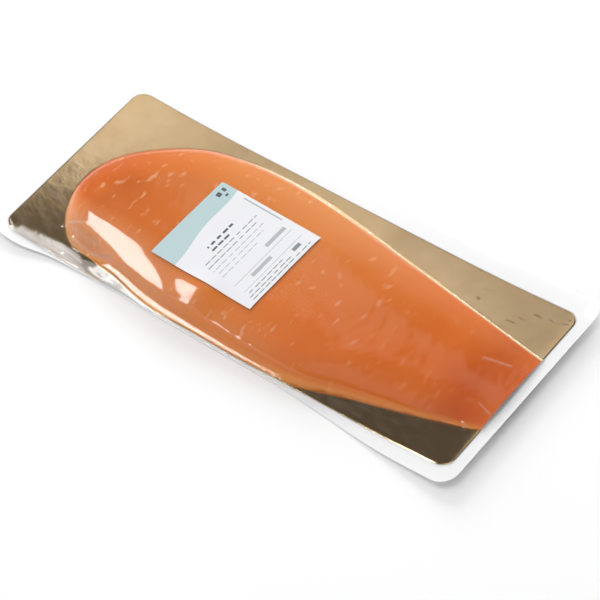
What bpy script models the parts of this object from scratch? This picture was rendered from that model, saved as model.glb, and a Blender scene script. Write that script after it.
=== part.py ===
"""Vacuum pack of smoked salmon: one whole trimmed side lying on a stiff card, drawn tight in clear film.

Sub-parts: the sealed pack, which is one body out to its film, and the paper label stuck on top of it.

Frame, in metres: +X runs along the pack from the head end to the cut tail end, +Y from the near long
edge to the far one and +Z up. The origin is on the resting plane, under the middle of the pack.
"""

import math

import bmesh
import bpy
import numpy as np
from mathutils import Vector

# The card that carries the fish, and the clear film round it.
CARD_LENGTH = 0.500
CARD_WIDTH = 0.200
CARD_CORNER = 0.013
CARD_THICK = 0.0014
HEAD_SEAL = 0.0165  # how far the welded film reaches past the card's head end
TAIL_SEAL = 0.0120
SEAL_CORNER = 0.017
SEAL_THICK = 0.0009
SEAL_LIFT = 0.0003
FILM_STEP = 0.0016  # the film slopes from the card's edge down to the seal over this width
# How far the seal reaches past the card's long edges: x, near side, far side. The fish pulls it in.
SEAL_STATIONS = (
    (-0.2665, 0.0070, 0.0125),
    (-0.222, 0.0095, 0.0160),
    (-0.195, 0.0045, 0.0172),
    (-0.110, 0.0030, 0.0172),
    (-0.060, 0.0036, 0.0175),
    (0.000, 0.0075, 0.0165),
    (0.060, 0.0105, 0.0190),
    (0.130, 0.0105, 0.0185),
    (0.180, 0.0145, 0.0205),
    (0.262, 0.0165, 0.0205),
)
FAR_KICK = 0.0045  # the far seal stands up this much towards the tail end

# The long card bows: its middle lies flat, and its two ends curl up.
END_CURL = 0.006
CURL_START = 0.120
END_DROOP = 0.0025  # the seal past each end hangs back towards the table

# The salmon side. Each station is its x, its near edge, its far edge and its thickness there. Its near
# edge hangs over the card's along the middle, and its tail is cut off level with the card's end.
NOSE = Vector((-0.223, -0.010))
NEAR_ROUND = 0.050
FAR_ROUND = 0.090
SIDE_STATIONS = (
    (-0.223, -0.0825, 0.0590, 0.0180),
    (-0.150, -0.0915, 0.0775, 0.0225),
    (-0.100, -0.0985, 0.0870, 0.0235),
    (-0.050, -0.1012, 0.0885, 0.0230),
    (0.000, -0.1040, 0.0835, 0.0215),
    (0.048, -0.1052, 0.0760, 0.0195),
    (0.085, -0.0975, 0.0695, 0.0175),
    (0.125, -0.0850, 0.0635, 0.0150),
    (0.190, -0.0680, 0.0520, 0.0108),
    (0.250, -0.0525, 0.0400, 0.0072),
)
NEAR_ROLL = 0.040  # the flesh rounds over to its near edge within this width
FAR_ROLL = 0.072  # and slopes off more gently to its thin far edge
TAIL_DRAPE = 0.006  # the film falls from the cut tail to the seal over this length

# Folds where the film is gathered over the near edge: each one's two ends and its height.
FILM_FOLDS = (
    ((-0.152, -0.0880), (-0.050, -0.1000), 0.0022),
    ((-0.158, -0.0935), (-0.092, -0.1005), 0.0018),
    ((-0.150, -0.0900), (-0.205, -0.0950), 0.0014),
    ((-0.212, -0.0400), (-0.165, -0.0600), 0.0012),
)
FOLD_HALF_WIDTH = 0.0026

# The paper label, laid on the film over the thick part of the side.
LABEL_CENTRE = Vector((-0.045, -0.012))
LABEL_LENGTH = 0.1135
LABEL_WIDTH = 0.1010
LABEL_TURN = math.radians(-0.9)
LABEL_THICK = 0.0004
LABEL_CELLS = (14, 12)
TOUCH_GAP = 0.0003

# How finely the pack is meshed: the number of cells in each band of a row across it, from the near seal.
BAND_CELLS = (2, 1, 2, 15, 3, 1, 2)
COLUMN_STEP = 0.0085
ARC_CELLS = 4
LEAST_COLUMN = 0.0016
LEAST_BAND = 0.0006

PACK_ENDS = (-CARD_LENGTH / 2 - HEAD_SEAL, CARD_LENGTH / 2 + TAIL_SEAL)
CARD_HALF = Vector((CARD_LENGTH / 2, CARD_WIDTH / 2))


def clear_scene():
    for old in list(bpy.data.objects):
        bpy.data.objects.remove(old, do_unlink=True)


def material(name, color, roughness, metallic=0.0):
    made = bpy.data.materials.new(name)
    made.use_nodes = True
    shader = made.node_tree.nodes["Principled BSDF"]
    shader.inputs["Base Color"].default_value = (*color, 1.0)
    shader.inputs["Roughness"].default_value = roughness
    shader.inputs["Metallic"].default_value = metallic
    return made


def add_object(name, bm, made_of):
    mesh = bpy.data.meshes.new(name)
    bm.to_mesh(mesh)
    bm.free()
    mesh.materials.append(made_of)
    mesh.shade_smooth()
    mesh.set_sharp_from_angle(angle=math.radians(40))
    obj = bpy.data.objects.new(name, mesh)
    bpy.context.scene.collection.objects.link(obj)
    return obj


def ease(t):
    t = min(max(t, 0.0), 1.0)
    return t * t * (3 - 2 * t)


def quarter_round(t):
    """Rises from 0 to 1 as a quarter of a circle does: steep at first, then level."""
    t = min(max(t, 0.0), 1.0)
    return math.sqrt(1 - (1 - t) ** 2)


def at_station(stations, x, column):
    """A column of the stations at x, on a smooth curve through them."""
    xs = [station[0] for station in stations]
    ys = [station[column] for station in stations]
    x = min(max(x, xs[0]), xs[-1])
    k = min(max(int(np.searchsorted(xs, x)) - 1, 0), len(xs) - 2)
    slopes = np.gradient(ys, xs)
    width = xs[k + 1] - xs[k]
    t = (x - xs[k]) / width
    return (
        (1 + 2 * t) * (1 - t) ** 2 * ys[k]
        + t * (1 - t) ** 2 * width * slopes[k]
        + t * t * (3 - 2 * t) * ys[k + 1]
        + t * t * (t - 1) * width * slopes[k + 1]
    )


def near_edge(x):
    full = at_station(SIDE_STATIONS, x, 1)
    return NOSE.y + (full - NOSE.y) * quarter_round((x - NOSE.x) / NEAR_ROUND)


def far_edge(x):
    full = at_station(SIDE_STATIONS, x, 2)
    return NOSE.y + (full - NOSE.y) * quarter_round((x - NOSE.x) / FAR_ROUND)


def side_outline(steps=90):
    """The edge of the flesh from the tail's near corner round the nose to its far corner."""
    reach = CARD_HALF.x - NOSE.x
    # The steps crowd together at the nose, where the edge turns.
    xs = [NOSE.x + reach * (k / steps) ** 2 for k in range(steps + 1)]
    near = [(x, near_edge(x)) for x in reversed(xs)]
    return np.array(near + [(x, far_edge(x)) for x in xs[1:]])


OUTLINE = side_outline()


def distance_to_edge(x, y):
    start = OUTLINE[:-1]
    run = OUTLINE[1:] - start
    t = ((np.array((x, y)) - start) * run).sum(axis=1) / np.maximum((run**2).sum(axis=1), 1e-12)
    nearest = start + run * np.clip(t, 0, 1)[:, None]
    return float(np.hypot(*(nearest - (x, y)).T).min())


def corner_cut(to_end, corner):
    """How much a rounded corner takes off a long edge, this far from the end of the shape."""
    past = min(max(corner - to_end, 0.0), corner)
    return corner - math.sqrt(corner**2 - past**2)


def outside_card(x, y):
    """How far the point lies outside the card, and 0 on it."""
    dx = abs(x) - (CARD_HALF.x - CARD_CORNER)
    dy = abs(y) - (CARD_HALF.y - CARD_CORNER)
    if max(dx, dy) <= 0:
        return 0.0
    return max(math.hypot(max(dx, 0), max(dy, 0)) - CARD_CORNER, 0.0)


def lift(x):
    """The height of the card's underside, which curls up towards both ends."""
    t = (abs(x) - CURL_START) / (CARD_HALF.x - CURL_START)
    if t <= 0:
        return 0.0
    if t <= 1:
        return END_CURL * t * t
    return END_CURL - END_DROOP * (abs(x) - CARD_HALF.x) / TAIL_SEAL


def flesh_height(x, y):
    if x < NOSE.x:
        return 0.0
    level = min(x, CARD_HALF.x)
    near, far = near_edge(level), far_edge(level)
    if not near < y < far:
        return 0.0
    across = ease((y - near) / (far - near))
    roll = NEAR_ROLL + (FAR_ROLL - NEAR_ROLL) * across
    height = at_station(SIDE_STATIONS, level, 3) * quarter_round(distance_to_edge(level, y) / roll)
    return height * (1 - ease((x - CARD_HALF.x) / TAIL_DRAPE))


def fold_height(x, y):
    height = 0.0
    for start, end, most in FILM_FOLDS:
        start, end = Vector(start), Vector(end)
        run = end - start
        along = (Vector((x, y)) - start).dot(run) / run.length_squared
        if 0 < along < 1:
            off = (Vector((x, y)) - start - run * along).length / FOLD_HALF_WIDTH
            height = max(height, most * math.exp(-off * off) * math.sin(math.pi * along))
    return height


def seal_kick(x, y):
    """How far the far seal stands up outside the card near the tail end."""
    beyond = max(y - CARD_HALF.y, 0.0) / SEAL_STATIONS[-1][2]
    return FAR_KICK * beyond * ease((x - 0.06) / 0.12)


def top_height(x, y):
    on_card = 1 - min(outside_card(x, y) / FILM_STEP, 1.0)
    level = SEAL_LIFT + SEAL_THICK + (CARD_THICK - SEAL_THICK - SEAL_LIFT) * on_card
    flesh = flesh_height(x, y)
    return lift(x) + level + flesh + fold_height(x, y) + seal_kick(x, y)


def underside_height(x, y):
    on_card = 1 - min(outside_card(x, y) / FILM_STEP, 1.0)
    return lift(x) + SEAL_LIFT * (1 - on_card) + seal_kick(x, y)


def column_places():
    """The x of each line of points across the pack: even steps, with more round the corners and nose."""
    steps = round(CARD_LENGTH / COLUMN_STEP)
    even = [CARD_LENGTH * (k / steps - 0.5) for k in range(steps + 1)]
    turns = [1 - math.cos(math.pi / 2 * k / ARC_CELLS) for k in range(ARC_CELLS + 1)]
    corners = [PACK_ENDS[0] + SEAL_CORNER * turn for turn in turns]
    corners += [PACK_ENDS[1] - SEAL_CORNER * turn for turn in turns]
    corners += [sign * (CARD_HALF.x - CARD_CORNER * turn) for turn in turns for sign in (-1, 1)]
    steps_down = [sign * (CARD_HALF.x + FILM_STEP) for sign in (-1, 1)]
    steps_down += [CARD_HALF.x + TAIL_DRAPE * part for part in (0.6, 1.0)]
    nose = [NOSE.x + FAR_ROUND * turn for turn in turns] + [NOSE.x + 0.0012, NOSE.x + 0.005]
    wanted = [*PACK_ENDS, -CARD_HALF.x, CARD_HALF.x]
    for x in steps_down + nose + corners + even:
        if all(abs(x - kept) > LEAST_COLUMN for kept in wanted):
            wanted.append(x)
    return sorted(wanted)


def row_places(x):
    """The y of each point across the pack at x, from the near seal to the far one."""
    on_card = min(max(x, -CARD_HALF.x), CARD_HALF.x)
    card = CARD_HALF.y - corner_cut(CARD_HALF.x - abs(on_card), CARD_CORNER)
    flesh_x = max(on_card, NOSE.x + 0.0012)
    near, far = near_edge(flesh_x), far_edge(flesh_x)
    near_foot = -max(card, -near + LEAST_BAND)
    seal_cut = corner_cut(min(x - PACK_ENDS[0], PACK_ENDS[1] - x), SEAL_CORNER)
    near_seal = CARD_HALF.y + at_station(SEAL_STATIONS, x, 1) - seal_cut
    far_seal = CARD_HALF.y + at_station(SEAL_STATIONS, x, 2) - seal_cut
    bounds = (
        -max(near_seal, -near_foot + FILM_STEP + LEAST_BAND),
        near_foot - FILM_STEP,
        near_foot,
        max(near, near_foot + LEAST_BAND),
        far,
        card,
        card + FILM_STEP,
        max(far_seal, card + FILM_STEP + LEAST_BAND),
    )
    places = [bounds[0]]
    for low, high, cells in zip(bounds, bounds[1:], BAND_CELLS):
        for k in range(1, cells + 1):
            part = k / cells
            if cells == max(BAND_CELLS):
                part = 0.5 - 0.5 * math.cos(math.pi * part)
            places.append(low + (high - low) * part)
    return places


def pack_offset():
    """Moves the card's centre so that the middle of the whole pack's box stands over the origin."""
    ys = [row_places(x)[end] for x in column_places() for end in (0, -1)]
    return Vector((-sum(PACK_ENDS) / 2, -(min(ys) + max(ys)) / 2, 0))


def make_film_pack():
    """The whole sealed pack as one body: film, card and fish, lying flat on its middle."""
    columns = column_places()
    rows = sum(BAND_CELLS)
    bm = bmesh.new()
    bmesh.ops.create_grid(bm, x_segments=len(columns) - 1, y_segments=rows, size=0.5)
    places = {}
    for vert in bm.verts:
        i = round((vert.co.x + 0.5) * (len(columns) - 1))
        j = round((vert.co.y + 0.5) * rows)
        x = columns[i]
        places[vert] = Vector((x, row_places(x)[j]))
    sheet = bm.faces[:]
    grown = bmesh.ops.extrude_face_region(bm, geom=sheet)["geom"]
    lifted = [item for item in grown if isinstance(item, bmesh.types.BMVert)]
    lifted_sites = {vert: (round(vert.co.x, 6), round(vert.co.y, 6)) for vert in lifted}
    flat_sites = {(round(v.co.x, 6), round(v.co.y, 6)): place for v, place in places.items()}
    for vert, place in places.items():
        vert.co = (place.x, place.y, underside_height(place.x, place.y))
    for vert, site in lifted_sites.items():
        place = flat_sites[site]
        vert.co = (place.x, place.y, top_height(place.x, place.y))
    bmesh.ops.recalc_face_normals(bm, faces=bm.faces)
    # The underside is flat from side to side, so its level cells join into wide strips.
    inner = [v for v in places if all(f.normal.z < 0 for f in v.link_faces)]
    inner_edges = {e for v in inner for e in v.link_edges}
    bmesh.ops.dissolve_limit(
        bm, angle_limit=math.radians(0.2), verts=inner, edges=list(inner_edges)
    )
    bmesh.ops.triangulate(bm, faces=bm.faces)
    clear_film = material("clear_film_over_salmon", (0.62, 0.20, 0.05), 0.25)
    pack = add_object("film_pack", bm, clear_film)
    pack.location = pack_offset()


def make_label():
    """The paper label, which follows the film that it is stuck to."""
    bm = bmesh.new()
    bmesh.ops.create_grid(bm, x_segments=LABEL_CELLS[0], y_segments=LABEL_CELLS[1], size=0.5)
    turn = (math.cos(LABEL_TURN), math.sin(LABEL_TURN))
    for vert in bm.verts:
        u, v = vert.co.x * LABEL_LENGTH, vert.co.y * LABEL_WIDTH
        x = LABEL_CENTRE.x + u * turn[0] - v * turn[1]
        y = LABEL_CENTRE.y + u * turn[1] + v * turn[0]
        vert.co = (x, y, top_height(x, y) + TOUCH_GAP)
    label = add_object("label", bm, material("label_paper", (0.85, 0.86, 0.87), 0.5))
    label.location = pack_offset()
    thick = label.modifiers.new("paper_thickness", "SOLIDIFY")
    thick.thickness = LABEL_THICK
    thick.offset = 1.0
    thick.use_even_offset = False


clear_scene()
make_film_pack()
make_label()
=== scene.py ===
import math

import bmesh
import bpy
import numpy as np
from mathutils import Matrix, Vector


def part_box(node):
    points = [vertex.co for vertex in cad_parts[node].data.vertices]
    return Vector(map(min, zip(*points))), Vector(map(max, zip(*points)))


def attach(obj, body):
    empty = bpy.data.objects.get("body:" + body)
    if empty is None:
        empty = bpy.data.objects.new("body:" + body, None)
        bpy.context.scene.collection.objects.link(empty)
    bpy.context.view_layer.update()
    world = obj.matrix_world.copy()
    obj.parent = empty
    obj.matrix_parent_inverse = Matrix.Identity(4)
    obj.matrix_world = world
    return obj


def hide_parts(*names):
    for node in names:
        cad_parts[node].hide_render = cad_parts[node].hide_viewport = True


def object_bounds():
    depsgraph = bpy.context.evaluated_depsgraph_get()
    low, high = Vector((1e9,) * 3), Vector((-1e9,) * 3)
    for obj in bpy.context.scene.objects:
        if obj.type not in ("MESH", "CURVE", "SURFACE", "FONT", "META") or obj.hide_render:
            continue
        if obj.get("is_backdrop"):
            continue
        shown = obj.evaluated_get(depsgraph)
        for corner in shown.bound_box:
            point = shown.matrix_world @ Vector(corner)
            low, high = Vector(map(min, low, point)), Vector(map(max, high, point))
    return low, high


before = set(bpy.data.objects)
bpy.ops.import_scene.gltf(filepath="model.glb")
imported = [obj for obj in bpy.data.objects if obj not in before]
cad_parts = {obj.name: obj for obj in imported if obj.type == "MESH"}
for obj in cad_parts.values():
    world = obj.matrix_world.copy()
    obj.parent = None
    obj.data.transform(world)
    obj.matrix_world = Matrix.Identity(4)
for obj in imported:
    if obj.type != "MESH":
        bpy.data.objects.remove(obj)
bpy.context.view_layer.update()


# --- The gold card --------------------------------------------------------------------------------
# A stiff board, 500 x 200 mm and 1 mm thick, that the fish lies on. It's solid paperboard faced with
# gold foil, die-cut with round corners. Its middle lies flat, and its two ends curl up.

CARD_LENGTH, CARD_WIDTH, CARD_CORNER = 0.500, 0.200, 0.013
CARD_THICK = 0.0010
CARD_UNDER = 0.00015  # the film under the card
END_CURL, CURL_START = 0.006, 0.120
END_RISE, TAIL_SEAL, HEAD_SEAL = 0.0020, 0.0120, 0.0165
RIM_ROLL = 0.0012  # the die presses the card's edge down, and the more so towards its tail

# The label's middle lies 45 mm head-ward and 12 mm near-ward of the card's, which gives the card's place.
label_low, label_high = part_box("label")
card_x = (label_low.x + label_high.x) / 2 + 0.045
card_y = (label_low.y + label_high.y) / 2 + 0.012


def ease(t):
    t = np.clip(t, 0.0, 1.0)
    return t * t * (3 - 2 * t)


def lift(x):
    """The height of the card's underside over the table, x metres along from its middle."""
    t = (np.abs(x) - CURL_START) / (CARD_LENGTH / 2 - CURL_START)
    past = END_CURL + END_RISE * (np.abs(x) - CARD_LENGTH / 2) / TAIL_SEAL
    return np.where(t > 1, past, END_CURL * np.clip(t, 0, 1) ** 2)


def inside_card(x, y):
    """How far a point lies inside the card's edge, which is less than 0 outside it."""
    dx = np.abs(x) - (CARD_LENGTH / 2 - CARD_CORNER)
    dy = np.abs(y) - (CARD_WIDTH / 2 - CARD_CORNER)
    outside = np.hypot(np.maximum(dx, 0), np.maximum(dy, 0))
    return CARD_CORNER - outside - np.minimum(np.maximum(dx, dy), 0)


def card_top(x, y):
    rim = 1 - np.clip(inside_card(x, y) / RIM_ROLL, 0, 1)
    drop = 0.00006 + 0.00026 * ease((x - 0.02) / 0.05)
    return lift(x) + CARD_UNDER + CARD_THICK - drop * rim**2


def points_of(piece):
    """The piece's points, measured from the middle of the card."""
    flat = np.empty(len(piece.data.vertices) * 3)
    piece.data.vertices.foreach_get("co", flat)
    return flat.reshape(-1, 3) - (card_x, card_y, 0)


def put_points(piece, points):
    piece.data.vertices.foreach_set("co", (points + (card_x, card_y, 0)).ravel())
    piece.data.update()


def edit(piece):
    """Starts editing one piece, with all of it selected."""
    bpy.ops.object.select_all(action="DESELECT")
    piece.select_set(True)
    bpy.context.view_layer.objects.active = piece
    bpy.ops.object.mode_set(mode="EDIT")
    bpy.ops.mesh.select_all(action="SELECT")


def pick(piece, kind, wanted):
    """Selects just those vertices, edges or faces of the piece being edited for which wanted is true."""
    bpy.ops.mesh.select_all(action="DESELECT")
    bpy.ops.mesh.select_mode(type={"verts": "VERT", "edges": "EDGE", "faces": "FACE"}[kind])
    shown = bmesh.from_edit_mesh(piece.data)
    for item in getattr(shown, kind):
        if wanted(item):
            item.select_set(True)
    shown.select_flush_mode()
    bmesh.update_edit_mesh(piece.data)


def end_edit():
    bpy.ops.object.mode_set(mode="OBJECT")


def colour(hex_value):
    """An sRGB hex colour as the linear one that a shader takes."""
    parts = [int(hex_value[k : k + 2], 16) / 255 for k in (1, 3, 5)]
    return (*(p / 12.92 if p <= 0.04045 else ((p + 0.055) / 1.055) ** 2.4 for p in parts), 1.0)


def new_material(name):
    made = bpy.data.materials.new(name)
    made.use_nodes = True
    made.node_tree.nodes.clear()
    return made


def add(owner, kind, inputs=(), **settings):
    """Adds a node with its settings, and gives each named input a value or a link."""
    made = owner.node_tree.nodes.new("ShaderNode" + kind)
    for name, value in settings.items():
        setattr(made, name, value)
    for key, value in dict(inputs).items():
        if isinstance(value, bpy.types.NodeSocket):
            owner.node_tree.links.new(value, made.inputs[key])
        else:
            made.inputs[key].default_value = value
    return made


def ramp(owner, fac, *stops):
    """A colour ramp over fac. Each stop is a place and a hex colour or a grey."""
    made = add(owner, "ValToRGB", {0: fac})
    while len(made.color_ramp.elements) < len(stops):
        made.color_ramp.elements.new(0.5)
    for element, (place, value) in zip(made.color_ramp.elements, stops):
        element.position = place
        element.color = colour(value) if isinstance(value, str) else (value, value, value, 1.0)
    return made.outputs[0]


# Gold foil on board, laminated: a metal skin with the board's slow waves and a fine paper grain in it.
gold_foil = new_material("gold_foil_laminated")
place = add(gold_foil, "TexCoord").outputs["Object"]
waves = add(gold_foil, "TexNoise", {"Vector": place, "Scale": 38.0, "Detail": 3.0, "Roughness": 0.55})
fibres = add(gold_foil, "TexNoise", {"Vector": place, "Scale": 420.0, "Detail": 2.0})
tone = ramp(gold_foil, waves.outputs[0], (0.30, "#e6c392"), (0.72, "#efcfa0"))
# small dark flecks are painted into the foil on the far side of the tail end
stretch = add(gold_foil, "Mapping", {0: place, 3: (70.0, 200.0, 100.0)}).outputs[0]
marks = add(gold_foil, "TexNoise", {"Vector": stretch, "Scale": 1.0, "Detail": 3.0}).outputs[0]
mark_share = add(gold_foil, "MapRange", {0: marks, 1: 0.66, 2: 0.72, 3: 0.0, 4: 0.6}).outputs[0]
where = add(gold_foil, "SeparateXYZ", {0: place})
tail_part = add(
    gold_foil, "MapRange", {0: where.outputs["X"], 1: card_x + 0.10, 2: card_x + 0.16, 3: 0.0, 4: 1.0}
).outputs[0]
far_part = add(
    gold_foil, "MapRange", {0: where.outputs["Y"], 1: card_y + 0.02, 2: card_y + 0.04, 3: 0.0, 4: 1.0}
).outputs[0]
marked = add(gold_foil, "Math", {0: mark_share, 1: tail_part}, operation="MULTIPLY").outputs[0]
marked = add(gold_foil, "Math", {0: marked, 1: far_part}, operation="MULTIPLY").outputs[0]
tone = add(gold_foil, "Mix", {0: marked, 6: tone, 7: colour("#7d6542")}, data_type="RGBA").outputs[2]
slow = add(gold_foil, "Bump", {"Strength": 0.12, "Distance": 0.0010, "Height": waves.outputs[0]})
grain = add(
    gold_foil,
    "Bump",
    {"Strength": 0.15, "Distance": 0.00012, "Height": fibres.outputs[0], "Normal": slow.outputs[0]},
)
shine = add(gold_foil, "MapRange", {0: fibres.outputs[0], 3: 0.08, 4: 0.14})
foil_shader = add(
    gold_foil,
    "BsdfPrincipled",
    {"Base Color": tone, "Metallic": 1.0, "Roughness": shine.outputs[0], "Normal": grain.outputs[0]},
)
add(gold_foil, "OutputMaterial", {"Surface": foil_shader.outputs[0]})

# The board's cut edge: pressed buff fibre, dull, with the ply lines a guillotine leaves.
board_edge = new_material("paperboard_cut_edge")
place = add(board_edge, "TexCoord").outputs["Object"]
plies = add(board_edge, "TexNoise", {"Vector": place, "Scale": 900.0, "Detail": 2.0})
tone = ramp(board_edge, plies.outputs[0], (0.3, "#a98f63"), (0.7, "#cdb88c"))
rough = add(board_edge, "Bump", {"Strength": 0.4, "Distance": 0.0002, "Height": plies.outputs[0]})
edge_shader = add(
    board_edge,
    "BsdfPrincipled",
    {"Base Color": tone, "Roughness": 0.7, "Normal": rough.outputs[0]},
)
add(board_edge, "OutputMaterial", {"Surface": edge_shader.outputs[0]})

# The board's unprinted back: pale grey paper, matt, with a soft cloud of fibres.
board_back = new_material("paperboard_grey_back")
place = add(board_back, "TexCoord").outputs["Object"]
cloud = add(board_back, "TexNoise", {"Vector": place, "Scale": 160.0, "Detail": 6.0})
tone = ramp(board_back, cloud.outputs[0], (0.3, "#c9c6bf"), (0.7, "#d8d6d0"))
rough = add(board_back, "Bump", {"Strength": 0.2, "Distance": 0.0002, "Height": cloud.outputs[0]})
back_shader = add(
    board_back,
    "BsdfPrincipled",
    {"Base Color": tone, "Roughness": 0.75, "Normal": rough.outputs[0]},
)
add(board_back, "OutputMaterial", {"Surface": back_shader.outputs[0]})

bpy.ops.object.select_all(action="DESELECT")
bpy.ops.mesh.primitive_cube_add(size=1.0)
card = bpy.context.object
card.name = card.data.name = "gold_card"
edit(card)
bpy.ops.transform.resize(value=(CARD_LENGTH, CARD_WIDTH, CARD_THICK))
bpy.ops.transform.translate(value=(card_x, card_y, CARD_UNDER + CARD_THICK / 2))
pick(card, "edges", lambda e: abs(e.verts[0].co.z - e.verts[1].co.z) > CARD_THICK / 2)
bpy.ops.mesh.bevel(offset=CARD_CORNER, segments=12, affect="EDGES")
pick(card, "faces", lambda f: f.normal.z > 0.5)
for _ in range(3):
    bpy.ops.mesh.inset(thickness=RIM_ROLL / 3, depth=0)
CARD_CUTS = 72
for k in range(1, CARD_CUTS):
    bpy.ops.mesh.select_all(action="SELECT")
    cut_x = card_x + CARD_LENGTH * (k / CARD_CUTS - 0.5)
    bpy.ops.mesh.bisect(plane_co=(cut_x, 0, 0), plane_no=(1, 0, 0))
end_edit()
points = points_of(card)
upper = points[:, 2] > CARD_UNDER + CARD_THICK / 2
points[:, 2] = np.where(
    upper, card_top(points[:, 0], points[:, 1]), lift(points[:, 0]) + CARD_UNDER
)
put_points(card, points)
for made in (gold_foil, board_edge, board_back):
    card.data.materials.append(made)
for face in card.data.polygons:
    face.material_index = 0 if face.normal.z > 0.5 else 2 if face.normal.z < -0.5 else 1
bpy.ops.object.shade_smooth_by_angle(angle=math.radians(40))
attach(card, "root")


# --- The salmon side ------------------------------------------------------------------------------
# One whole trimmed side of smoked salmon, without its skin, cut face up. It's firm oily flesh, thick
# along the middle and thin at its far edge, where a pale line of fat shows. Its tail is cut square.

NOSE_X, NOSE_Y = -0.223, -0.010
NEAR_ROUND, FAR_ROUND, FAR_ROLL = 0.050, 0.090, 0.072
# x, near edge, far edge, thickness, how far in the near side takes to round over, the flat bevel
# that the film presses on the near side (how far in it ends, and its slope), and the near flank's fall
SIDE_STATIONS = np.array((
    (-0.223, -0.0800, 0.0590, 0.0178, 0.030, 0.026, 0.30, 0.00),
    (-0.185, -0.0836, 0.0685, 0.0212, 0.022, 0.0265, 0.31, 0.00),
    (-0.150, -0.0868, 0.0775, 0.0228, 0.015, 0.0275, 0.31, 0.00),
    (-0.127, -0.0900, 0.0828, 0.0233, 0.0115, 0.0280, 0.30, 0.00),
    (-0.112, -0.0926, 0.0856, 0.0233, 0.009, 0.0275, 0.28, 0.03),
    (-0.100, -0.0956, 0.0870, 0.0230, 0.009, 0.0260, 0.26, 0.06),
    (-0.080, -0.0986, 0.0882, 0.0224, 0.010, 0.0185, 0.25, 0.09),
    (-0.060, -0.1000, 0.0885, 0.0217, 0.016, 0.005, 0.20, 0.11),
    (-0.020, -0.1008, 0.0858, 0.0207, 0.020, 0.000, 0.00, 0.12),
    (0.048, -0.1010, 0.0760, 0.0191, 0.024, 0.000, 0.00, 0.11),
    (0.085, -0.0976, 0.0695, 0.0175, 0.028, 0.000, 0.00, 0.07),
    (0.125, -0.0850, 0.0635, 0.0150, 0.038, 0.000, 0.00, 0.00),
    (0.190, -0.0680, 0.0520, 0.0098, 0.040, 0.000, 0.00, 0.00),
    (0.250, -0.0525, 0.0400, 0.0036, 0.040, 0.000, 0.00, 0.00),
))
# the near flank falls away from this line, and the flesh drops this steeply under the ledge
FLANK_FROM, PRESSED_SLOPE = -0.055, 2.2
# one lump stands on the near side: its middle, its half length and half width, and its height
LUMP_X, LUMP_Y, LUMP_LENGTH, LUMP_WIDTH, LUMP_HEIGHT = -0.038, -0.072, 0.018, 0.014, 0.0026
# the tight film presses a ledge along the near side, and spans from it down to the weld: x, where
# the film lands, the ledge's edge, the step down at that edge, the slope and the ledge's width
SPAN_STATIONS = np.array((
    (-0.172, -0.0985, -0.0885, 0.0000, 0.42, 0.0060),
    (-0.150, -0.1020, -0.0885, 0.0002, 0.42, 0.0050),
    (-0.127, -0.1036, -0.0904, 0.0006, 0.43, 0.0042),
    (-0.100, -0.1018, -0.0960, 0.0010, 0.46, 0.0056),
    (-0.080, -0.1014, -0.0990, 0.0020, 0.47, 0.0054),
    (-0.060, -0.1014, -0.1004, 0.0027, 0.47, 0.0050),
    (-0.020, -0.1022, -0.1013, 0.0030, 0.47, 0.0036),
    (0.020, -0.1026, -0.1018, 0.0031, 0.46, 0.0028),
    (0.060, -0.1030, -0.1020, 0.0032, 0.46, 0.0022),
    (0.100, -0.1034, -0.1008, 0.0034, 0.46, 0.0020),
))
SEAL_TOP, STEP_WIDTH, LIP_WIDTH, LIP_HEIGHT = 0.00120, 0.0006, 0.0024, 0.0009
FLESH_COLUMNS, FLESH_ROWS = 330, 124
LEAST_FLESH = 0.00022
CARD_GAP, FILM_GAP, EDGE_GAP = 0.00030, 0.00050, 0.00055


def at_station(stations, x, column):
    """A column of the stations at x, on a smooth curve through them."""
    xs, ys = stations[:, 0], stations[:, column]
    x = np.clip(x, xs[0], xs[-1])
    k = np.clip(np.searchsorted(xs, x) - 1, 0, len(xs) - 2)
    slopes = np.gradient(ys, xs)
    width = xs[k + 1] - xs[k]
    t = (x - xs[k]) / width
    return (
        (1 + 2 * t) * (1 - t) ** 2 * ys[k]
        + t * (1 - t) ** 2 * width * slopes[k]
        + t * t * (3 - 2 * t) * ys[k + 1]
        + t * t * (t - 1) * width * slopes[k + 1]
    )


def quarter_round(t):
    return np.sqrt(1 - (1 - np.clip(t, 0, 1)) ** 2)


def near_edge(x):
    full = at_station(SIDE_STATIONS, x, 1)
    return NOSE_Y + (full - NOSE_Y) * quarter_round((x - NOSE_X) / NEAR_ROUND)


def far_edge(x):
    full = at_station(SIDE_STATIONS, x, 2)
    return NOSE_Y + (full - NOSE_Y) * quarter_round((x - NOSE_X) / FAR_ROUND)


outline_x = NOSE_X + (CARD_LENGTH / 2 - NOSE_X) * np.linspace(0, 1, 181) ** 2
outline = np.concatenate([
    np.stack([outline_x, near_edge(outline_x)], 1)[::-1],
    np.stack([outline_x, far_edge(outline_x)], 1)[1:],
])


def to_edge(x, y):
    """The distance from each point to the edge of the flesh, round its nose but not across its tail."""
    nearest = np.full(x.shape, np.inf)
    for start, end in zip(outline[:-1], outline[1:]):
        run = end - start
        t = np.clip(((x - start[0]) * run[0] + (y - start[1]) * run[1]) / max(run @ run, 1e-12), 0, 1)
        away = np.hypot(x - start[0] - t * run[0], y - start[1] - t * run[1])
        nearest = np.minimum(nearest, away)
    return nearest


def span_share(x):
    return ease((x + 0.172) / 0.008) * (1 - ease((x - 0.074) / 0.022))


def span_foot(x):
    """Where the film's free span comes down on its weld: at the card's edge, and past it further on."""
    landing = at_station(SPAN_STATIONS, x, 1)
    return -CARD_WIDTH / 2 + np.minimum(landing + CARD_WIDTH / 2, 0) * ease((x + 0.110) / 0.030)


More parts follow.
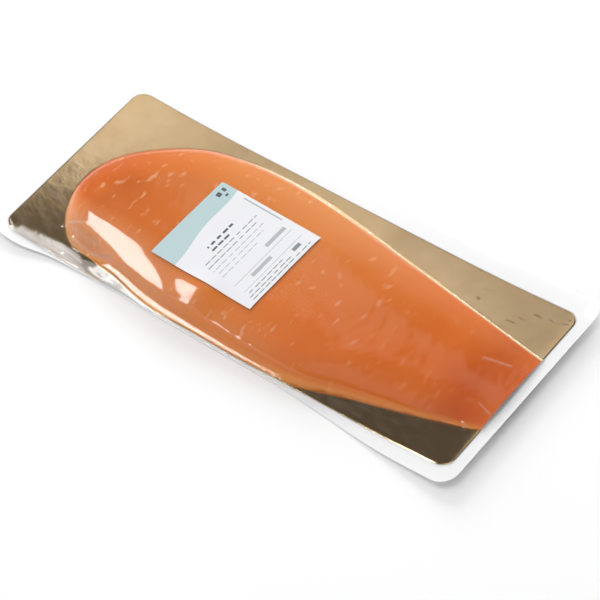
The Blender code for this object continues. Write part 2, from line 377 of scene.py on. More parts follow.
def span_height(x, y):
    """How high the film's free span stands, from the weld it lands on up to the flesh."""
    landing, brink, step, slope = (at_station(SPAN_STATIONS, x, k) for k in (1, 2, 3, 4))
    # at the head end the span narrows to a point, and the film above it lies level
    level_from = -0.0845 + 0.60 * (x + 0.136)
    reach = np.where(x < -0.130, np.minimum(y, level_from), y)
    up = slope * np.maximum(reach - landing, 0)
    return SEAL_TOP + up + step * ease((y - brink + STEP_WIDTH) / STEP_WIDTH)


def flesh_height(x, y, inset):
    """The thickness of the flesh at points that lie this far in from its edge."""
    level = np.clip(x, NOSE_X, CARD_LENGTH / 2)
    near, far = near_edge(level), far_edge(level)
    across = ease((y - near) / np.maximum(far - near, 1e-6))
    straight_near, thickness, roll, bevel, slope, fall = (
        at_station(SIDE_STATIONS, level, k) for k in (1, 3, 4, 5, 6, 7)
    )
    roll += (FAR_ROLL - roll) * across
    before = bevel - (y - straight_near)
    thickness -= slope * 0.5 * (before + np.hypot(before, 0.004))
    thickness -= fall * 0.5 * (FLANK_FROM - y + np.hypot(FLANK_FROM - y, 0.010))
    height = thickness * quarter_round(inset / roll)
    past_ledge = np.maximum(y - near - at_station(SPAN_STATIONS, x, 5), 0)
    pressed = span_height(x, y) - 0.0022 + PRESSED_SLOPE * past_ledge
    under_film = ease((x + 0.200) / 0.045) * (1 - ease((x - 0.074) / 0.022))
    height -= under_film * np.maximum(height - pressed, 0)
    return np.where((x >= NOSE_X) & (y > near) & (y < far), height, 0.0)


def soft_noise(x, y, size, seed):
    """Smooth noise, mostly from -0.5 to 0.5, with cells of the given size along and across, in metres."""
    a, b = x / size[0] + seed, y / size[1] + 1.7 * seed
    i, j = np.floor(a), np.floor(b)
    s, t = a - i, b - j

    def pull(di, dj):
        turn = np.sin((i + di) * 127.1 + (j + dj) * 311.7 + seed * 74.7) * 43758.5453
        turn = 2 * math.pi * (turn - np.floor(turn))
        return np.cos(turn) * (s - di) + np.sin(turn) * (t - dj)

    near_side = pull(0, 0) + (pull(1, 0) - pull(0, 0)) * ease(s)
    far_side = pull(0, 1) + (pull(1, 1) - pull(0, 1)) * ease(s)
    return near_side + (far_side - near_side) * ease(t)


def flesh_relief(x, y, inset):
    """The raised muscle blocks and soft dents in the cut face, which die out towards its edge."""
    middle = 0.5 * (near_edge(np.clip(x, NOSE_X, 0.25)) + far_edge(np.clip(x, NOSE_X, 0.25)))
    sweep = x + 0.55 * np.abs(y - middle) + 0.007 * soft_noise(x, y, (0.03, 0.03), 4.1)
    blocks = np.sin(sweep * 2 * math.pi / 0.0125)
    dents = soft_noise(x, y, (0.052, 0.040), 1.7)
    lumps = soft_noise(x, y, (0.013, 0.019), 2.3)
    flakes = soft_noise(x, y, (0.0048, 0.0090), 3.9)
    height = 0.000018 * blocks + 0.00050 * dents + 0.00012 * lumps + 0.00005 * flakes
    # the film draws the flesh smooth along the near side of the head end, but for one lump
    smooth = (1 - ease((x + 0.075) / 0.040)) * (1 - ease((y + 0.055) / 0.025))
    height *= 1 - 0.75 * smooth
    lump = np.exp(-(((x - LUMP_X) / LUMP_LENGTH) ** 2) - ((y - LUMP_Y) / LUMP_WIDTH) ** 2)
    height += LUMP_HEIGHT * lump
    return height * ease(inset / 0.012)


# Smoked salmon: oily orange flesh. Its muscle blocks show as faint bands, with pale flecks that are
# partly fat and partly painted highlights.
salmon_flesh = new_material("smoked_salmon_flesh")
place = add(salmon_flesh, "TexCoord").outputs["Object"]
across = add(salmon_flesh, "Attribute", attribute_name="across").outputs["Fac"]
along = add(salmon_flesh, "Attribute", attribute_name="along").outputs["Fac"]
fat = add(salmon_flesh, "Attribute", attribute_name="fat").outputs["Fac"]
near_in = add(salmon_flesh, "Attribute", attribute_name="from_near_edge").outputs["Fac"]
clouds = add(salmon_flesh, "TexNoise", {"Vector": place, "Scale": 26.0, "Detail": 4.0}).outputs[0]
# painted shade: the darker start at the head end offsets the strong low light falling on it
body_tone_and_shade = ramp(
    salmon_flesh, along, (0.0, "#b85212"), (0.2, "#cc661a"), (0.42, "#da782a"), (0.6, "#d6671a"),
    (0.85, "#d26110"), (0.93, "#bd4c0d"), (1.0, "#c85a20"),
)
# the far side and the head are painted paler, partly for their paler fatty flesh and partly as a painted
# reflection of the bright back wall; the paler near edge is painted light that lifts the dim near side
pale_and_sheen_across = ramp(
    salmon_flesh, across, (0.0, 0.35), (0.16, 0.10), (0.4, 0.05), (0.62, 0.35), (0.85, 0.8), (0.97, 0.5)
)
pale_and_sheen_along = ramp(salmon_flesh, along, (0.05, 0.0), (0.25, 0.8), (0.5, 1.0), (0.75, 0.35), (1.0, 0.2))
pale = add(salmon_flesh, "Math", {0: pale_and_sheen_across, 1: pale_and_sheen_along}, operation="MULTIPLY").outputs[0]
tone = add(
    salmon_flesh, "Mix", {0: pale, 6: body_tone_and_shade, 7: colour("#d58c50")}, data_type="RGBA"
).outputs[2]
# the head's near side is painted paler: painted light that makes up for the light it lacks
near_head_lift = ramp(salmon_flesh, across, (0.0, 1.0), (0.18, 0.75), (0.34, 0.0))
near_head_lift_along = ramp(salmon_flesh, along, (0.0, 1.0), (0.28, 0.6), (0.42, 0.0))
near_head_lift = add(salmon_flesh, "Math", {0: near_head_lift, 1: near_head_lift_along}, operation="MULTIPLY").outputs[0]
tone = add(
    salmon_flesh, "Mix", {0: near_head_lift, 6: tone, 7: colour("#e8a474")}, data_type="RGBA"
).outputs[2]
cloud_share = add(salmon_flesh, "MapRange", {0: clouds, 1: 0.35, 2: 0.7, 3: 0.0, 4: 0.30}).outputs[0]
tone = add(
    salmon_flesh, "Mix", {0: cloud_share, 6: tone, 7: colour("#da7f3e")}, data_type="RGBA"
).outputs[2]
# the pale flecks are partly fat and partly painted highlights
squeeze = add(salmon_flesh, "Mapping", {0: place, 2: (0, 0, 0.35), 3: (150.0, 70.0, 100.0)}).outputs[0]
flecks = add(salmon_flesh, "TexNoise", {"Vector": squeeze, "Scale": 1.0, "Detail": 1.5}).outputs[0]
fleck_and_glint_share = add(salmon_flesh, "MapRange", {0: flecks, 1: 0.63, 2: 0.76, 3: 0.0, 4: 0.5}).outputs[0]
smooth_tail = ramp(salmon_flesh, along, (0.0, 1.0), (0.6, 1.0), (0.75, 0.35), (1.0, 0.15))
fleck_and_glint_share = add(salmon_flesh, "Math", {0: fleck_and_glint_share, 1: smooth_tail}, operation="MULTIPLY").outputs[0]
tone = add(
    salmon_flesh, "Mix", {0: fleck_and_glint_share, 6: tone, 7: colour("#e6b083")}, data_type="RGBA"
).outputs[2]
tone = add(
    salmon_flesh, "Mix", {0: fat, 6: tone, 7: colour("#fbe6bd")}, data_type="RGBA"
).outputs[2]
trim_line = ramp(salmon_flesh, near_in, (0.0, 0.8), (0.2, 0.45), (0.6, 0.0))
tone = add(
    salmon_flesh, "Mix", {0: trim_line, 6: tone, 7: colour("#e39a45")}, data_type="RGBA"
).outputs[2]
fine = add(salmon_flesh, "TexNoise", {"Vector": place, "Scale": 330.0, "Detail": 3.0}).outputs[0]
fibre_bump = add(salmon_flesh, "Bump", {"Strength": 0.3, "Distance": 0.0003, "Height": fine})
flesh_shader = add(
    salmon_flesh,
    "BsdfPrincipled",
    {
        "Base Color": tone,
        "Roughness": 0.42,
        "Specular IOR Level": 0.12,
        "Normal": fibre_bump.outputs[0],
    },
)
add(salmon_flesh, "OutputMaterial", {"Surface": flesh_shader.outputs[0]})


def add_shell(name, columns, rows, kept):
    """A flat grid closed by walls and a lower skin, whose inner points lie on the kept rows alone.

    Gives the piece, and for each of its points the column, the row and whether it's on the top skin."""
    bpy.ops.object.select_all(action="DESELECT")
    bpy.ops.mesh.primitive_grid_add(x_subdivisions=columns, y_subdivisions=rows, size=1.0)
    piece = bpy.context.object
    piece.name = piece.data.name = name
    shell = bmesh.new()
    shell.from_mesh(piece.data)
    kept = sorted({0, rows, *kept})
    top, low = {}, {}
    for vert in shell.verts[:]:
        top[round((vert.co.x + 0.5) * columns), round((vert.co.y + 0.5) * rows)] = vert
    for (i, j), vert in top.items():
        if i in (0, columns) or j in kept:
            low[i, j] = shell.verts.new((vert.co.x, vert.co.y, -1.0))
    for i in range(columns):
        for a, b in zip(kept, kept[1:]):
            there = [low[i, j] for j in range(a, b + 1) if (i, j) in low]
            back = [low[i + 1, j] for j in range(b, a - 1, -1) if (i + 1, j) in low]
            shell.faces.new(there + back)
        for j in (0, rows):
            shell.faces.new((top[i, j], top[i + 1, j], low[i + 1, j], low[i, j]))
    for j in range(rows):
        for i in (0, columns):
            shell.faces.new((top[i, j], top[i, j + 1], low[i, j + 1], low[i, j]))
    bmesh.ops.recalc_face_normals(shell, faces=shell.faces)
    shell.to_mesh(piece.data)
    shell.free()
    raw = np.empty(len(piece.data.vertices) * 3)
    piece.data.vertices.foreach_get("co", raw)
    raw = raw.reshape(-1, 3)
    column = np.rint((raw[:, 0] + 0.5) * columns).astype(int)
    row = np.rint((raw[:, 1] + 0.5) * rows).astype(int)
    return piece, column, row, raw[:, 2] > -0.5


def lip_reach(x):
    """How far the pale line of fat reaches past the far edge of the cut face."""
    return LIP_WIDTH * ease((x + 0.150) / 0.060) * (1 - 0.35 * ease((x - 0.10) / 0.08))


def lip_share(x):
    """The share of its full height that the line of fat has where it starts."""
    return np.clip(lip_reach(x) / 0.0012, 0, 1)


salmon, column, row, flesh_upper = add_shell(
    "salmon_side", FLESH_COLUMNS, FLESH_ROWS, range(0, FLESH_ROWS, 12)
)
LIP_ROWS = 3
part_along = column / FLESH_COLUMNS
part_across = np.minimum(row / (FLESH_ROWS - LIP_ROWS), 1.0)
lip_part = np.maximum(row - FLESH_ROWS + LIP_ROWS, 0) / LIP_ROWS
NOSE_SHARE = 0.2  # this share of the columns crowds in to the nose, where the edge turns
nose_reach = (CARD_LENGTH / 2 - NOSE_X) / (2 / NOSE_SHARE - 1)
flesh_x = NOSE_X + np.where(
    part_along < NOSE_SHARE,
    nose_reach * (part_along / NOSE_SHARE) ** 2,
    nose_reach * (2 * part_along / NOSE_SHARE - 1),
)
swing = 0.5 - 0.5 * np.cos(math.pi * part_across)
swing = 0.6 * swing + 0.4 * part_across
low, high = near_edge(flesh_x), far_edge(flesh_x)
flesh_y = low + (high - low) * swing
ripple = soft_noise(flesh_x, flesh_x * 0, (0.013, 1.0), 8.2)
ripple += 0.6 * soft_noise(flesh_x, flesh_x * 0, (0.005, 1.0), 9.4)
# the tail's near edge is a little ragged, but it stays inside the line that the film follows
ripple = np.maximum(ripple + 0.2, 0)
flesh_y += 0.0022 * ripple * ease((flesh_x - 0.06) / 0.05) * (1 - ease(part_across / 0.12))
flesh_y += lip_reach(flesh_x) * lip_part
bed = lift(flesh_x) + CARD_UNDER + CARD_THICK + 0.00008
inset_in = to_edge(flesh_x, flesh_y)
rise = np.maximum(flesh_height(flesh_x, flesh_y, inset_in), LEAST_FLESH)
rise = np.where(lip_part > 0, np.maximum(LIP_HEIGHT * lip_share(flesh_x), LEAST_FLESH), rise)
relief = flesh_relief(flesh_x, flesh_y, inset_in) * (lip_part == 0)
flesh_z = np.where(flesh_upper, bed + rise + relief - 0.0001, bed)
# the flesh lies this far inside the film all round its edge
set_in = EDGE_GAP * np.minimum((high - low) / 0.030, 1)
flesh_y = flesh_y + set_in * (1 - 2 * part_across)
from_nose = flesh_x + EDGE_GAP * np.exp((NOSE_X - flesh_x) / 0.010)
put_points(salmon, np.stack([from_nose, flesh_y, flesh_z], 1))
# where the side is thick, the line of fat climbs its far wall
fat_line = 0.0004 + 0.0036 * (1 - ease((flesh_x + 0.02) / 0.10))
for name, value in (
    ("across", part_across),
    ("along", (flesh_x - NOSE_X) / (CARD_LENGTH / 2 - NOSE_X)),
    ("fat", np.clip(1 - (high - fat_line - flesh_y) / 0.0010, 0, 1) * ease((flesh_x + 0.130) / 0.050)),
    ("from_near_edge", np.clip((flesh_y - low) / 0.010, 0, 1)),
):
    made = salmon.data.attributes.new(name, "FLOAT", "POINT")
    made.data.foreach_set("value", value.astype(np.float32))
salmon.data.materials.append(salmon_flesh)
edit(salmon)
bpy.ops.mesh.remove_doubles(threshold=0.00002)
end_edit()
bpy.ops.object.shade_smooth_by_angle(angle=math.radians(50))
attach(salmon, "root")


# --- The clear film -------------------------------------------------------------------------------
# Two webs of clear film, drawn down on the fish and the card and welded all round. The top web is
# 0.1 mm of soft nylon and polythene. It creases where the thick head draws it in from the near side.

SEAL_CORNER, SEAL_UNDER, SEAL_EDGE = 0.017, 0.00008, 0.00035
FILM_STEP, TAIL_DRAPE, FAR_KICK = 0.0016, 0.0018, 0.0045
# how far the weld reaches past the card: x, near side, far side
SEAL_STATIONS = np.array((
    (-0.2665, 0.0070, 0.0125),
    (-0.222, 0.0095, 0.0160),
    (-0.195, 0.0045, 0.0172),
    (-0.150, 0.0024, 0.0172),
    (-0.060, 0.0032, 0.0175),
    (0.000, 0.0044, 0.0165),
    (0.060, 0.0046, 0.0190),
    (0.090, 0.0068, 0.0188),
    (0.130, 0.0100, 0.0185),
    (0.180, 0.0145, 0.0205),
    (0.262, 0.0165, 0.0205),
))
# each crease's points, its height, and the widths of its near face and of its far face
CREASES = (
    (((-0.150, -0.0895), (-0.168, -0.0920), (-0.186, -0.0930)), 0.0007, 0.0030, 0.0016),
    (((-0.158, -0.0978), (-0.137, -0.0958), (-0.112, -0.0982)), 0.0008, 0.0010, 0.0009),
    (((-0.148, -0.0936), (-0.130, -0.0932)), 0.0006, 0.0008, 0.0008),
    (((-0.132, -0.0820), (-0.165, -0.0800), (-0.190, -0.0785)), 0.0009, 0.0034, 0.0014),
    (((-0.150, -0.0760), (-0.170, -0.0745), (-0.192, -0.0720)), 0.0006, 0.0030, 0.0014),
    (((-0.207, -0.0698), (-0.188, -0.0685), (-0.172, -0.0643)), 0.0009, 0.0026, 0.0012),
    (((0.206, 0.0120), (0.219, 0.0150), (0.236, 0.0192)), 0.0007, 0.0022, 0.0013),
    (((0.232, -0.0521), (0.239, -0.0573)), 0.0006, 0.0016, 0.0010),
    (((0.232, -0.0295), (0.251, -0.0356)), 0.0006, 0.0016, 0.0011),
)


def crease_height(x, y):
    """The ridges of the creases: each is a sharp fold that dies out at both of its ends."""
    height = np.zeros(x.shape)
    for path, most, near_face, far_face in CREASES:
        path = np.array(path)
        lengths = np.hypot(*np.diff(path, axis=0).T)
        done, total = 0.0, lengths.sum()
        for start, end, length in zip(path[:-1], path[1:], lengths):
            run = (end - start) / length
            along = np.clip((x - start[0]) * run[0] + (y - start[1]) * run[1], 0, length)
            off_x, off_y = x - start[0] - along * run[0], y - start[1] - along * run[1]
            width = np.where(off_y < 0, near_face, far_face)
            share = (done + along) / total
            fade = ease(share / 0.12) * ease((1 - share) / 0.12)
            face = np.maximum(1 - np.hypot(off_x, off_y) / width, 0)
            height = np.maximum(height, most * face * fade)
            done += length
    return height


def kick(x, y):
    """How far the far weld stands up near the tail."""
    beyond = np.maximum(y - CARD_WIDTH / 2, 0) / SEAL_STATIONS[-1, 2]
    return FAR_KICK * beyond * ease((x - 0.06) / 0.12)


def film_top(x, y):
    on_card = np.clip(1 + inside_card(x, y) / FILM_STEP, 0, 1)
    over_card = card_top(x, y) - lift(x) + CARD_GAP
    level = SEAL_EDGE + (over_card - SEAL_EDGE) * on_card
    inset = to_edge(np.clip(x, NOSE_X, CARD_LENGTH / 2), y)
    flesh = flesh_height(x, y, inset) * (1 - ease((x - CARD_LENGTH / 2) / TAIL_DRAPE))
    on_flesh = flesh > 0
    relief = (flesh_relief(x, y, inset) + FILM_GAP) * on_flesh
    slack = 0.00010 * soft_noise(x, y, (0.009, 0.009), 6.6) * ~on_flesh
    past_far = y - far_edge(np.clip(x, NOSE_X, CARD_LENGTH / 2))
    on_lip = (past_far >= 0) * (1 - ease((past_far - lip_reach(x) - 0.0002) / 0.0006)) * lip_share(x)
    flesh = np.maximum(flesh, (LIP_HEIGHT + 0.0004) * on_lip * (x < CARD_LENGTH / 2 + 0.001))
    top = lift(x) + level + flesh + relief
    over_weld = ease((y - span_foot(x) + 0.0012) / 0.0012)
    span = lift(x) + SEAL_EDGE + (span_height(x, y) - SEAL_EDGE) * span_share(x) * over_weld
    top = np.where(y < near_edge(np.maximum(x, NOSE_X)) + 0.0085, np.maximum(top, span), top)
    return top + crease_height(x, y) + kick(x, y) + slack


def film_under(x, y):
    on_card = np.clip(1 + inside_card(x, y) / FILM_STEP, 0, 1)
    return lift(x) + SEAL_UNDER * (1 - on_card) + kick(x, y)


def corner_cut(to_end, corner):
    past = np.clip(corner - to_end, 0, corner)
    return corner - np.sqrt(corner**2 - past**2)


# Clear soft film: two glossy faces that show what is under them, with a trace of milky haze.
clear_film = new_material("clear_vacuum_film")
place = add(clear_film, "TexCoord").outputs["Object"]
tight = add(clear_film, "TexNoise", {"Vector": place, "Scale": 300.0, "Detail": 3.0})
skin = add(clear_film, "Bump", {"Strength": 0.12, "Distance": 0.0003, "Height": tight.outputs[0]})
clear = add(clear_film, "BsdfTransparent", {"Color": (0.985, 0.985, 0.98, 1.0)})
gloss = add(
    clear_film,
    "BsdfPrincipled",
    {"Base Color": colour("#ffffff"), "Metallic": 1.0, "Roughness": 0.09, "Normal": skin.outputs[0]},
)
slant = add(clear_film, "LayerWeight", {"Blend": 0.5, "Normal": skin.outputs[0]}).outputs["Facing"]
steep = add(clear_film, "Math", {0: slant, 1: 5.0}, operation="POWER").outputs[0]
welded = add(clear_film, "Attribute", attribute_name="weld").outputs["Fac"]
straight = add(clear_film, "MapRange", {0: welded, 3: 0.032, 4: 0.08}).outputs[0]
mirror = add(clear_film, "MapRange", {0: steep, 3: straight, 4: 1.0}).outputs[0]
film_shader = add(clear_film, "MixShader", {0: mirror, 1: clear.outputs[0], 2: gloss.outputs[0]})
# the haze scatters light all through the film's depth, so it's as bright as a level white face
level = add(clear_film, "CombineXYZ", {"Z": 1.0}).outputs[0]
milk = add(clear_film, "BsdfDiffuse", {"Color": colour("#fdfdfe"), "Normal": level})
glow = add(clear_film, "BsdfTranslucent", {"Color": colour("#f8f8fa"), "Normal": level})
milk = add(clear_film, "MixShader", {0: 0.12, 1: milk.outputs[0], 2: glow.outputs[0]})
haze = add(clear_film, "MapRange", {0: welded, 3: 0.004, 4: 0.87}).outputs[0]
film_shader = add(clear_film, "MixShader", {0: haze, 1: film_shader.outputs[0], 2: milk.outputs[0]})
add(clear_film, "OutputMaterial", {"Surface": film_shader.outputs[0]})

pack_ends = (-CARD_LENGTH / 2 - HEAD_SEAL, CARD_LENGTH / 2 + TAIL_SEAL)
FINE_STEP, PLAIN_STEP = 0.0010, 0.0015
column_x = [pack_ends[0]]
while column_x[-1] < pack_ends[1]:
    at_corner = min(column_x[-1] - pack_ends[0], pack_ends[1] - column_x[-1]) < 0.034
    gathered = -0.225 < column_x[-1] < -0.100
    column_x.append(column_x[-1] + (0.0006 if at_corner else FINE_STEP if gathered else PLAIN_STEP))
column_x = np.array(column_x[:-1] + [pack_ends[1]])
# the cells in each band of a row across the pack, from the near weld to the far one
BAND_CELLS = (5, 3, 7, 3, 8, 90, 4, 18, 3, 8)
inner_x = np.clip(column_x, -CARD_LENGTH / 2, CARD_LENGTH / 2)
card_side = CARD_WIDTH / 2 - corner_cut(CARD_LENGTH / 2 - np.abs(inner_x), CARD_CORNER)
flesh_at = np.maximum(inner_x, NOSE_X + 0.0012)
near, far = near_edge(flesh_at), far_edge(flesh_at)
span_part = span_share(column_x)
foot = -card_side + span_part * np.minimum(span_foot(column_x) + card_side, 0)
brink = foot + 0.5 * (near - foot)
brink += span_part * (at_station(SPAN_STATIONS, column_x, 2) - brink)
ledge_in = near + 0.0005 + at_station(SPAN_STATIONS, column_x, 5) * span_part
weld_cut = corner_cut(
    np.minimum(column_x - pack_ends[0], pack_ends[1] - column_x), SEAL_CORNER
)
near_weld = CARD_WIDTH / 2 + at_station(SEAL_STATIONS, column_x, 1) - weld_cut
far_weld = CARD_WIDTH / 2 + at_station(SEAL_STATIONS, column_x, 2) - weld_cut
bands = (
    -np.maximum(near_weld, -foot + FILM_STEP + 0.0006),
    foot - FILM_STEP,
    foot,
    brink - STEP_WIDTH,
    brink,
    ledge_in,
    far,
    far + lip_reach(column_x) + 0.0008,
    card_side,
    card_side + FILM_STEP,
    np.maximum(far_weld, card_side + FILM_STEP + 0.0006),
)
row_y = [bands[0]]
for start, end, cells in zip(bands[:-1], bands[1:], BAND_CELLS):
    for k in range(1, cells + 1):
        part = k / cells
        if cells == max(BAND_CELLS):
            part = 0.5 * part + 0.5 * (0.5 - 0.5 * math.cos(math.pi * part))
        row_y.append(start + (end - start) * part)
row_y = np.array(row_y)
film, column, row, film_upper = add_shell(
    "clear_film",
    len(column_x) - 1,
    len(row_y) - 1,
    [*np.cumsum((0,) + BAND_CELLS), *range(len(row_y) - 1 - sum(BAND_CELLS[-2:]), len(row_y))],
)
film_x, film_y = column_x[column], row_y[row, column]
film_z = film_under(film_x, film_y)
film_z[film_upper] = film_top(film_x[film_upper], film_y[film_upper])
put_points(film, np.stack([film_x, film_y, film_z], 1))
film.data.materials.append(clear_film)
weld = film.data.attributes.new("weld", "FLOAT", "POINT")
past_foot = foot[column] - film_y
beyond_card = np.where(film_y < 0, np.maximum(past_foot, np.abs(film_x) - CARD_LENGTH / 2), 1.0)
weld_share = ease(np.minimum(beyond_card, -inside_card(film_x, film_y)) / 0.0011)
# the folds at the head end of the near side lie in layers, which look milky over the card's edge; this
# milk, and that on the span below the ledge, is partly the layered film's haze and partly painted glare
fold_x = (-0.246, -0.230, -0.212, -0.190, -0.168, -0.150)
fold_width = (0.0, 0.0095, 0.0120, 0.0154, 0.0133, 0.0)
band_width = np.interp(film_x, fold_x, fold_width)
band_width += 0.0008 * soft_noise(film_x, film_x * 0, (0.012, 1.0), 5.2)
streaks = 0.56 + 0.40 * soft_noise(film_x, film_y + 0.10 * film_x, (0.030, 0.0022), 7.7)
fold_haze_and_glare = streaks * ease((-CARD_WIDTH / 2 + band_width - film_y) / 0.0030) * (band_width > 0.0015)
span_haze_and_glare = 0.85 * ease((brink[column] - 0.0004 - film_y) / 0.0008)
span_haze_and_glare *= 0.35 * ease((film_x + 0.168) / 0.006) + 0.65 * ease((film_x + 0.138) / 0.012)
span_haze_and_glare *= 1 - ease((film_x + 0.080) / 0.020)
fold_haze_and_glare = np.maximum(fold_haze_and_glare, span_haze_and_glare)
weld_share = np.where(film_y < 0, np.maximum(weld_share, fold_haze_and_glare), weld_share)
# the film is painted milky along each crease, a painted highlight for the glints the creases catch
CREASE_GLINT_MILK = 230.0  # the share of milk for each metre of a crease's height
weld_share = np.maximum(weld_share, CREASE_GLINT_MILK * crease_height(film_x, film_y))
weld_share = weld_share * film_upper
weld.data.foreach_set("value", weld_share.astype(np.float32))
bpy.ops.object.shade_smooth_by_angle(angle=math.radians(60))
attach(film, "root")
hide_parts("film_pack")


# --- The label ------------------------------------------------------------------------------------
# A coated paper label stuck on the film over the thick of the fish. It's printed with a pale band, a
# few rules and blocks that stand for its wording, and small plain shapes.

LABEL_LENGTH, LABEL_WIDTH, LABEL_TURN = 0.1135, 0.1010, math.radians(-0.9)
LABEL_THICK, LABEL_GAP = 0.00020, 0.00025
label_x, label_y = -0.045, -0.012


def plain_ink(name, hex_value, roughness):
    made = new_material(name)
    spot = add(made, "TexCoord").outputs["Object"]
    speckle = add(made, "TexNoise", {"Vector": spot, "Scale": 900.0, "Detail": 2.0})
    even = add(made, "Mix", {0: 0.04, 6: colour(hex_value), 7: speckle.outputs[1]}, data_type="RGBA")
    surface = add(made, "Bump", {"Strength": 0.1, "Distance": 0.0001, "Height": speckle.outputs[0]})
    shader = add(
        made,
        "BsdfPrincipled",
        {"Base Color": even.outputs[2], "Roughness": roughness, "Normal": surface.outputs[0]},
    )
    add(made, "OutputMaterial", {"Surface": shader.outputs[0]})
    return made


# what is printed: from and to along the label, from and to across it, the ink, and 1 for broken words
PRINT = (
    (0.045, 0.080, 0.84, 0.88, 2, 0), (0.045, 0.080, 0.91, 0.95, 2, 0), (0.100, 0.130, 0.88, 0.92, 2, 0),
    (0.335, 0.355, 0.32, 0.66, 2, 1), (0.385, 0.403, 0.32, 0.56, 2, 1),
    (0.440, 0.449, 0.14, 0.86, 3, 1), (0.485, 0.494, 0.14, 0.80, 3, 1),
    (0.535, 0.543, 0.14, 0.84, 4, 1), (0.580, 0.588, 0.14, 0.76, 4, 1), (0.625, 0.633, 0.14, 0.62, 4, 1),
    (0.690, 0.725, 0.64, 0.90, 4, 0), (0.760, 0.765, 0.12, 0.92, 4, 0), (0.790, 0.825, 0.30, 0.56, 4, 0),
    (0.860, 0.865, 0.12, 0.92, 4, 0), (0.890, 0.925, 0.74, 0.84, 3, 0),
    (0.895, 0.904, 0.10, 0.60, 3, 1), (0.930, 0.939, 0.10, 0.66, 3, 1), (0.962, 0.971, 0.10, 0.90, 3, 1),
    (0.250, 0.640, 0.945, 0.960, 4, 0),
)
BAND_LINES, GAP_LINES, LABEL_ROWS = 8, 4, 60
lines = sorted({edge for item in PRINT if item[0] > 0.3 for edge in item[:2]} | {0.64, 1.0})
while max(b - a for a, b in zip(lines, lines[1:])) > 0.026:
    wide = max(range(len(lines) - 1), key=lambda k: lines[k + 1] - lines[k])
    lines.insert(wide + 1, (lines[wide] + lines[wide + 1]) / 2)
label_columns = BAND_LINES + GAP_LINES + len(lines) - 1
label, column, row, label_upper = add_shell(
    "paper_label", label_columns, LABEL_ROWS, range(0, LABEL_ROWS + 1, 2)
)
across_label = row / LABEL_ROWS
# the band's inner border runs in a slow wave, and the columns beside it follow it
border = 0.235 - 0.085 * across_label + 0.012 * np.sin(2 * math.pi * (1.3 * across_label + 0.1))
in_gap = np.clip((column - BAND_LINES) / GAP_LINES, 0, 1)
along_label = border * np.minimum(column / BAND_LINES, 1) + (lines[0] - border) * in_gap
past_gap = np.maximum(column - BAND_LINES - GAP_LINES, 0)
along_label = np.where(past_gap > 0, np.array(lines)[past_gap], along_label)
u, v = (along_label - 0.5) * LABEL_LENGTH, (across_label - 0.5) * LABEL_WIDTH
x = label_x + u * math.cos(LABEL_TURN) - v * math.sin(LABEL_TURN)
y = label_y + u * math.sin(LABEL_TURN) + v * math.cos(LABEL_TURN)
z = film_top(x, y) + LABEL_GAP + np.where(label_upper, LABEL_THICK, 0)
put_points(label, np.stack([x, y, z], 1))
for name, hex_value in (
    ("coated_label_paper", "#e2e2e5"), ("pale_blue_grey_ink", "#aec6c8"), ("slate_ink", "#3f4b55"),
    ("mid_grey_ink", "#7c858d"), ("light_grey_ink", "#a9afb4"),
):
    label.data.materials.append(plain_ink(name, hex_value, 0.45))
for face in label.data.polygons:
    corners = list(face.vertices)
    if not label_upper[corners].all():
        continue
    if column[corners].max() <= BAND_LINES:
        face.material_index = 1
    middle_u, middle_v = along_label[corners].mean(), across_label[corners].mean()
    for low_u, high_u, low_v, high_v, ink, broken in PRINT:
        gap = broken and math.sin(137.0 * round(middle_v * LABEL_ROWS - 0.5) + 811.0 * low_u) > 0.72
        if low_u < middle_u < high_u and low_v < middle_v < high_v and not gap:
            face.material_index = ink
bpy.ops.object.shade_smooth_by_angle(angle=math.radians(40))
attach(label, "root")
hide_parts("label")


# --- The table, the light and the camera ----------------------------------------------------------
# A plain white table under a white studio: bright walls with a dark gap between two of them, and a
# dark ceiling. A strip soft box at the head side gives the long highlights and no more. Two broad
# fills and a low light from the far side light everything, and a small soft box hangs overhead.

bpy.ops.object.select_all(action="DESELECT")
bpy.ops.mesh.primitive_plane_add(size=12.0, location=(0, 0, -0.0002))
table = bpy.context.object
table.name = table.data.name = "white_table"
table_paint = new_material("white_table_laminate")
place = add(table_paint, "TexCoord").outputs["Object"]
mottle = add(table_paint, "TexNoise", {"Vector": place, "Scale": 3.0}).outputs[0]
tone = ramp(table_paint, mottle, (0.0, "#f4f4f4"), (1.0, "#f8f8f8"))
table_shader = add(
    table_paint, "BsdfPrincipled", {"Base Color": tone, "Roughness": 0.9, "Specular IOR Level": 0.1}
)
add(table_paint, "OutputMaterial", {"Surface": table_shader.outputs[0]})
table.data.materials.append(table_paint)
table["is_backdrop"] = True

scene = bpy.context.scene
studio = bpy.data.worlds.new("white_studio")
scene.world = studio
studio.use_nodes = True
studio.node_tree.nodes.clear()
toward = add(studio, "TexCoord").outputs["Generated"]


def facing_share(direction, low_edge, high_edge, low_value, high_value):
    """How much of one grey the studio shows towards a direction, easing to another away from it."""
    dot = add(studio, "VectorMath", {0: toward, 1: direction}, operation="DOT_PRODUCT")
    share = add(
        studio,
        "MapRange",
        {0: dot.outputs["Value"], 1: low_edge, 2: high_edge, 3: low_value, 4: high_value},
        interpolation_type="SMOOTHSTEP",
    )
    return share.outputs[0]


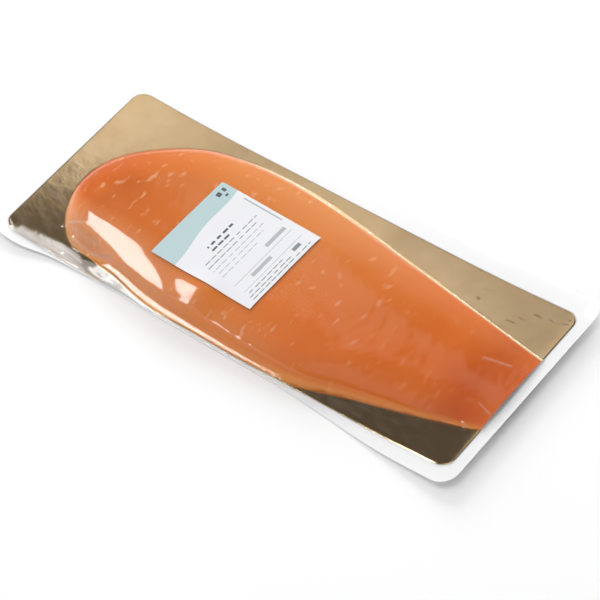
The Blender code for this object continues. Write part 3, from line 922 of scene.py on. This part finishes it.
gap_edge = facing_share((-0.485, -0.843, 0.232), -0.008, 0.004, 0.0, 1.0)
gap_reach = facing_share((-0.66, 0.33, 0.67), 0.80, 0.93, 0.0, 1.0)
gap = add(studio, "Math", {0: gap_edge, 1: gap_reach}, operation="MULTIPLY").outputs[0]
side_edge = facing_share((0.848, 0.530, 0.0), -0.008, 0.012, 0.0, 1.0)
side_height = facing_share((0.0, 0.0, 1.0), 0.58, 0.68, 0.0, 1.0)
side = add(studio, "Math", {0: side_edge, 1: side_height}, operation="MULTIPLY").outputs[0]
ceiling = facing_share((0.0, 0.0, 1.0), 0.835, 0.850, 0.0, 1.0)
dark = add(studio, "Math", {0: gap, 1: ceiling}, operation="MAXIMUM").outputs[0]
dark = add(studio, "Math", {0: dark, 1: side}, operation="MAXIMUM").outputs[0]
upward = add(studio, "SeparateXYZ", {0: toward}).outputs["Z"]
walls = ramp(
    studio, upward, (0.0, 0.90), (0.40, 0.90), (0.55, 0.58), (0.70, 0.58), (0.75, 0.80), (0.80, 1.0)
)
# the wall beyond the head's far side is dimmer
far_corner = facing_share((-0.79, 0.60, 0.12), 0.76, 0.92, 1.0, 0.35)
walls = add(studio, "Math", {0: walls, 1: far_corner}, operation="MULTIPLY").outputs[0]
grey = add(studio, "Mix", {0: dark, 2: walls, 3: 0.05}).outputs[0]
glow = add(studio, "Background", {"Color": (1, 1, 1, 1), "Strength": grey})
add(studio, "OutputWorld", {"Surface": glow.outputs[0]})


def add_soft_box(name, azimuth, elevation, distance, size, brightness):
    """A rectangular light that faces the pack from that direction, in degrees from +X towards +Y."""
    a, e = math.radians(azimuth), math.radians(elevation)
    towards = Vector((math.cos(a) * math.cos(e), math.sin(a) * math.cos(e), math.sin(e)))
    lamp = bpy.data.lights.new(name, "AREA")
    lamp.shape = "RECTANGLE"
    lamp.size, lamp.size_y = size
    lamp.energy = brightness * math.pi * size[0] * size[1]
    lamp_object = bpy.data.objects.new(name, lamp)
    scene.collection.objects.link(lamp_object)
    lamp_object.location = towards * distance
    lamp_object.rotation_euler = towards.to_track_quat("Z", "Y").to_euler()
    lamp_object.visible_camera = False
    return lamp_object


strip_box = add_soft_box("head_side_soft_box", 187, 55.5, 3.2, (2.3, 0.56), 18.0)
strip_box.visible_diffuse = False
wide_fill = add_soft_box("head_side_fill", 165, 57, 5.0, (5.0, 4.2), 1.6)
wide_fill.visible_glossy = False
overhead_fill = add_soft_box("overhead_fill", 0, 88, 4.0, (3.0, 3.0), 1.1)
overhead_fill.visible_glossy = False
add_soft_box("overhead_soft_box", 0, 88, 3.0, (2.0, 1.5), 0.6)
low_light = add_soft_box("low_side_light", 138, 16, 4.0, (2.6, 1.4), 16.0)
low_light.visible_glossy = False

camera_data = bpy.data.cameras.new("camera")
camera_data.lens, camera_data.sensor_width = 189.96, 36.0
camera_data.clip_start, camera_data.clip_end = 0.1, 60.0
camera = bpy.data.objects.new("camera", camera_data)
scene.collection.objects.link(camera)
# the camera's right, up and back, and its place measured from the middle of the card
camera_turn = ((0.7897, -0.4244, 0.4431), (0.6081, 0.6377, -0.4728), (-0.0819, 0.6428, 0.7617))
camera_place = (1.2724 + card_x, -1.3442 + card_y, 2.1375)
rows = [(*camera_turn[k], camera_place[k]) for k in range(3)]
camera.matrix_world = Matrix((*rows, (0.0, 0.0, 0.0, 1.0)))
scene.camera = camera
scene.view_settings.view_transform = "Standard"

low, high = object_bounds()
